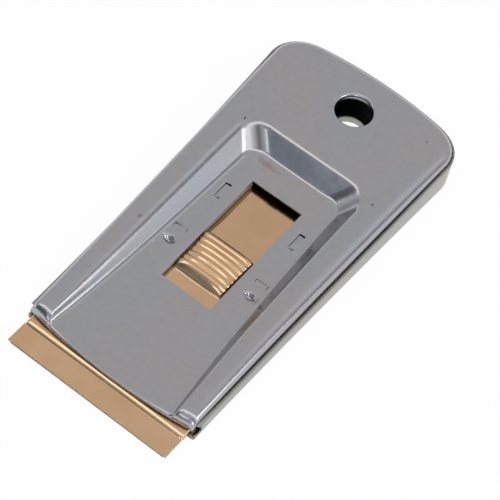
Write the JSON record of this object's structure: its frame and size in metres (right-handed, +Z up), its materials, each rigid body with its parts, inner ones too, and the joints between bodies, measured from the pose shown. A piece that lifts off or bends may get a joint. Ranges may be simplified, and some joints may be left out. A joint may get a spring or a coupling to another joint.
{
  "type": "razor scraper",
  "caption": "Flat pocket scraper of pressed sheet steel: a single-edge blade in a brass-coloured carriage slides out of a tapered body with a sunk deck, thumb dome and hang hole.",
  "frame": {"origin": "on the plane that the tray's underside lies in, below the middle of the whole scraper with its blade out", "axes": "+Y along the scraper from the blade to the hang hole, +Z up through the sunk deck, +X to the right seen from above with the blade towards the viewer"},
  "size_m": [0.0464, 0.0988, 0.0096],
  "materials": {
    "plated_steel": "bright plated sheet steel, bluish grey with soft mottling and fine scuffs",
    "tray_steel": "bright plated sheet steel, bluish grey with soft mottling and fine scuffs",
    "brass_plate": "pale brass-coloured plating, satin",
    "blade_steel": "ground and honed blade steel",
    "spine_steel": "bright folded strip steel"
  },
  "bodies": {
    "housing": {"top_shell": "plated_steel", "bottom_tray": "tray_steel"},
    "carriage": {"blade_carriage": "brass_plate", "razor_blade": "blade_steel", "blade_spine": "spine_steel"}
  },
  "joints": [
    {"name": "carriage_slide", "type": "slide", "parent": "housing", "child": "carriage", "axis": [0, 1, 0], "range_m": [0, 0.0155]}
  ]
}
